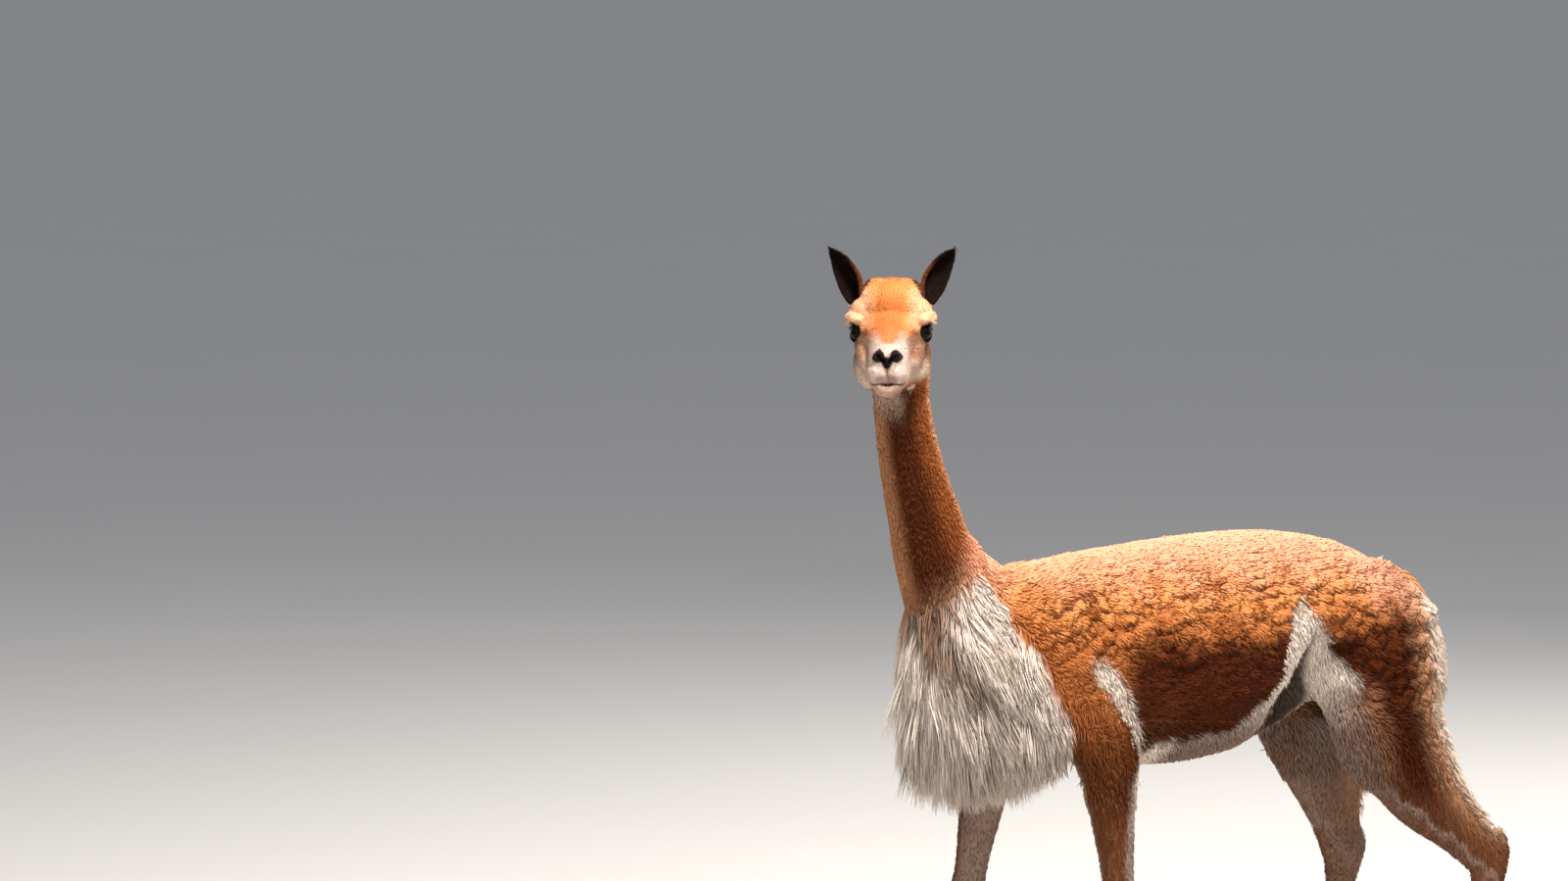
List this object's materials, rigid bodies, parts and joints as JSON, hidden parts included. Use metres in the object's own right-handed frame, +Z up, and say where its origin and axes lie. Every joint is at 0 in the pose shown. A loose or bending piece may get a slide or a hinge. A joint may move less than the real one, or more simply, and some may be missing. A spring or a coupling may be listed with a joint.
{
  "type": "standing vicuna",
  "caption": "Life-size vicuna standing in mid pace, its head turned to look over its left side, with curly fleece on the trunk, a long pale bib on the chest and short hair elsewhere.",
  "frame": {"origin": "on the floor under the middle of the whole animal", "axes": "+Z up, -Y the way the body faces, +X the animal's left side"},
  "size_m": [0.3554, 1.1774, 1.2787],
  "materials": {
    "fleece": "curly matt wool",
    "short_coat": "short matt hair",
    "pale_wool": "long matt wool",
    "face": "short matt hair",
    "ear": "short dark hair",
    "eye": "wet gloss",
    "nail": "dull horn"
  },
  "bodies": {
    "root": {"barrel": "fleece", "bib": "pale_wool", "ear_left": "ear", "ear_right": "ear", "eye_left": "eye", "eye_right": "eye", "foreleg_left_cannon": "short_coat", "foreleg_left_foot": "short_coat", "foreleg_left_forearm": "short_coat", "foreleg_right_cannon": "short_coat", "foreleg_right_foot": "short_coat", "foreleg_right_forearm": "short_coat", "forequarters": "fleece", "head": "face", "hindleg_left_cannon": "short_coat", "hindleg_left_foot": "short_coat", "hindleg_left_gaskin": "short_coat", "hindleg_right_cannon": "short_coat", "hindleg_right_foot": "short_coat", "hindleg_right_gaskin": "short_coat", "hindquarters": "fleece", "nail_fore_left_inner": "nail", "nail_fore_left_outer": "nail", "nail_fore_right_inner": "nail", "nail_fore_right_outer": "nail", "nail_hind_left_inner": "nail", "nail_hind_left_outer": "nail", "nail_hind_right_inner": "nail", "nail_hind_right_outer": "nail", "neck_lower": "short_coat", "neck_upper": "short_coat", "tail": "fleece"}
  },
  "joints": []
}
